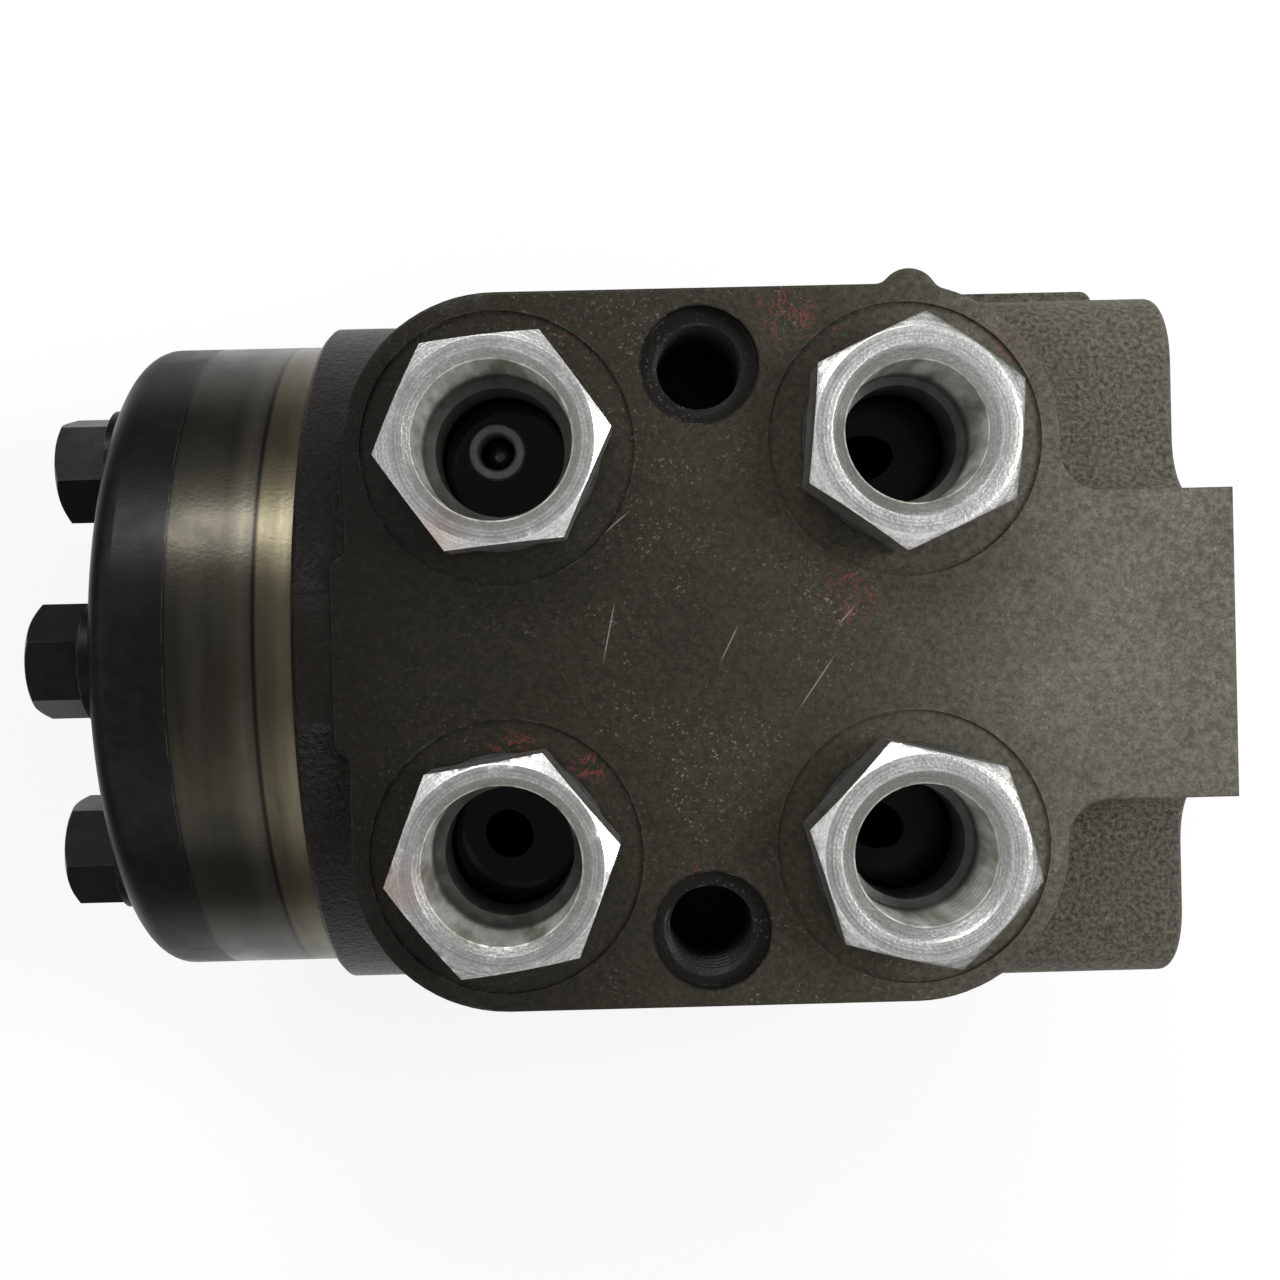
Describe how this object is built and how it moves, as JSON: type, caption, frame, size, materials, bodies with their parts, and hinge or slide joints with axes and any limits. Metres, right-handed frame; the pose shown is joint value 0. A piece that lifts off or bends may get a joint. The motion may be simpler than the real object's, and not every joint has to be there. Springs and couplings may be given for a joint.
{
  "type": "orbital steering unit",
  "caption": "Hydraulic steering unit with a rotary valve, a gear-type metering set, a splined input and threaded hose ports on a machined face.",
  "frame": {"origin": "centre of the column mounting face, on the input axis", "axes": "+X out of the mounting face, +Z out of the port face, gear set at -X"},
  "size_m": [0.1488, 0.0956, 0.1046],
  "materials": {
    "housing": "phosphated, satin",
    "adapter_zinc": "bright zinc plate",
    "black_oxide": "black oxide, satin",
    "ring_steel": "hardened, ground",
    "plate_steel": "ground, worn",
    "hard_steel": "ground",
    "valve_seat": "machined",
    "spring_steel": "blued",
    "seal_rubber": "matte",
    "seal_washer": "bonded seal, matte"
  },
  "bodies": {
    "housing_stack": {"housing": "housing", "port_adapter_p": "adapter_zinc", "port_adapter_t": "adapter_zinc", "port_adapter_l": "adapter_zinc", "port_adapter_r": "adapter_zinc", "end_cover": "black_oxide", "cover_bolt_1": "black_oxide", "cover_bolt_2": "black_oxide", "cover_bolt_3": "black_oxide", "cover_bolt_4": "black_oxide", "cover_bolt_5": "black_oxide", "cover_bolt_6": "black_oxide", "pin_bolt": "black_oxide", "cover_washer_1": "black_oxide", "cover_washer_2": "black_oxide", "cover_washer_3": "black_oxide", "cover_washer_4": "black_oxide", "cover_washer_5": "black_oxide", "cover_washer_6": "black_oxide", "cover_washer_7": "black_oxide", "gerotor_ring": "ring_steel", "distributor_plate": "plate_steel", "roll_pin": "hard_steel", "bearing_race_outer": "hard_steel", "check_valve_seat": "valve_seat", "dust_seal": "seal_rubber", "shaft_seal": "seal_rubber", "o_ring_housing": "seal_rubber", "o_ring_plate": "seal_rubber", "o_ring_cover": "seal_rubber", "port_seal_p": "seal_washer", "port_seal_t": "seal_washer", "port_seal_l": "seal_washer", "port_seal_r": "seal_washer"},
    "sleeve_group": {"sleeve": "hard_steel", "cross_pin": "hard_steel", "leaf_springs_flat": "spring_steel", "leaf_springs_arched": "spring_steel", "spring_retaining_ring": "spring_steel", "bearing_race_inner": "hard_steel"},
    "spool_body": {"spool": "hard_steel"},
    "needle_cage": {"needle_thrust_cage": "hard_steel"},
    "orbit_carrier": {"cardan_spacer": "hard_steel"},
    "star": {"gerotor_star": "hard_steel"},
    "cardan": {"cardan_shaft": "hard_steel"},
    "valve_ball": {"check_ball": "hard_steel"}
  },
  "joints": [
    {"name": "sleeve_turn", "type": "hinge", "parent": "housing_stack", "child": "sleeve_group", "pos_m": [-0.047, 0, 0], "axis": [1, 0, 0], "continuous": true},
    {"name": "spool_turn", "type": "hinge", "parent": "sleeve_group", "child": "spool_body", "pos_m": [-0.047, 0, 0], "axis": [1, 0, 0], "range_deg": [-10, 10], "stiffness_Nm_per_rad": 10, "deforming": ["leaf_springs_flat", "leaf_springs_arched"]},
    {"name": "needle_cage_turn", "type": "hinge", "parent": "housing_stack", "child": "needle_cage", "pos_m": [-0.024, 0, 0], "axis": [1, 0, 0], "continuous": true},
    {"name": "star_orbit", "type": "hinge", "parent": "housing_stack", "child": "orbit_carrier", "pos_m": [-0.129, 0, 0], "axis": [1, 0, 0], "continuous": true},
    {"name": "star_spin", "type": "hinge", "parent": "orbit_carrier", "child": "star", "pos_m": [-0.1245, 0, 0.0032], "axis": [1, 0, 0], "continuous": true},
    {"name": "cardan_spin", "type": "hinge", "parent": "orbit_carrier", "child": "cardan", "pos_m": [-0.047, 0, 0], "axis": [0.9991, 0, -0.0418], "continuous": true},
    {"name": "check_ball_lift", "type": "slide", "parent": "housing_stack", "child": "valve_ball", "axis": [0, 0, 1], "range_m": [0, 0.0012]}
  ],
  "couplings": [
    {"joint": "needle_cage_turn", "follows": "sleeve_turn", "ratio": 0.5},
    {"joint": "star_orbit", "follows": "sleeve_turn", "ratio": -6},
    {"joint": "star_spin", "follows": "sleeve_turn", "ratio": 7},
    {"joint": "cardan_spin", "follows": "sleeve_turn", "ratio": 7}
  ]
}
